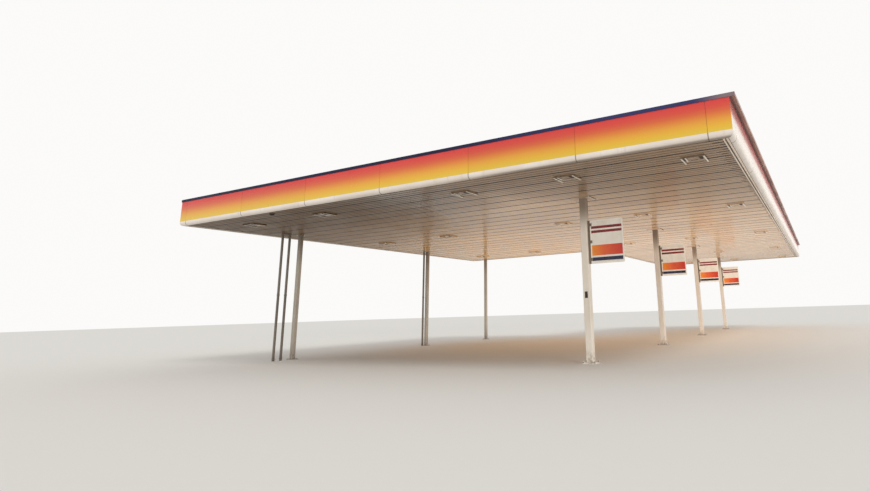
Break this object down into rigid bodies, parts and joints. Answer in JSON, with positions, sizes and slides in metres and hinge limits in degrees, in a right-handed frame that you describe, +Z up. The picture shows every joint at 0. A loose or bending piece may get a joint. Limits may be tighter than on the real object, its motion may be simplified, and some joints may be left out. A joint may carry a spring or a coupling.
{
  "type": "filling station canopy",
  "caption": "Flat L-shaped forecourt roof on a row of square columns and shop-side posts, with a banded fascia, rounded lower trim, ribbed soffit and flag panels.",
  "frame": {"origin": "on the ground, under the middle of the fascia's outer faces, 50 mm from the middle of the box because the right-hand coping projects further", "axes": "+X along the long front fascia to the right, +Y away from it along the row of pump columns, +Z up"},
  "size_m": [18.96, 32.53, 5.795],
  "materials": {
    "column_white": "satin off-white paint",
    "post_grey": "satin light grey paint",
    "frame_steel": "galvanised and primed steel",
    "soffit_sheet": "semi-gloss off-white sheet",
    "deck_sheet": "galvanised sheet",
    "fascia_panel": "satin panels graded from red through orange to yellow",
    "nose_trim": "satin warm grey",
    "coping": "satin dark blue",
    "light_fitting": "white frame with frosted lens",
    "flag_panel": "printed sheet with plain bands"
  },
  "bodies": {
    "root": {"column_collars": "column_white", "coping_back_left": "coping", "coping_back_right": "coping", "coping_front": "coping", "coping_inner": "coping", "coping_left": "coping", "coping_right": "coping", "cross_beams": "frame_steel", "downpipes": "post_grey", "edge_beams": "frame_steel", "fascia_back_left": "fascia_panel", "fascia_back_right": "fascia_panel", "fascia_front": "fascia_panel", "fascia_inner": "fascia_panel", "fascia_left": "fascia_panel", "fascia_posts": "frame_steel", "fascia_right": "fascia_panel", "flag_panel_1": "flag_panel", "flag_panel_2": "flag_panel", "flag_panel_3": "flag_panel", "flag_panel_4": "flag_panel", "flag_strips": "column_white", "nose_trim_back_left": "nose_trim", "nose_trim_back_right": "nose_trim", "nose_trim_front": "nose_trim", "nose_trim_inner": "nose_trim", "nose_trim_left": "nose_trim", "nose_trim_right": "nose_trim", "pump_column_1": "column_white", "pump_column_2": "column_white", "pump_column_3": "column_white", "pump_column_4": "column_white", "roof_deck_arm": "deck_sheet", "roof_deck_shop_bay": "deck_sheet", "roof_joists": "frame_steel", "shop_bay_beam": "frame_steel", "shop_post_1": "post_grey", "shop_post_2": "post_grey", "shop_post_3": "post_grey", "soffit_arm": "soffit_sheet", "soffit_lights": "light_fitting", "soffit_rails": "frame_steel", "soffit_shop_bay": "soffit_sheet", "soffit_trim": "soffit_sheet", "spine_beams": "frame_steel"}
  },
  "joints": []
}
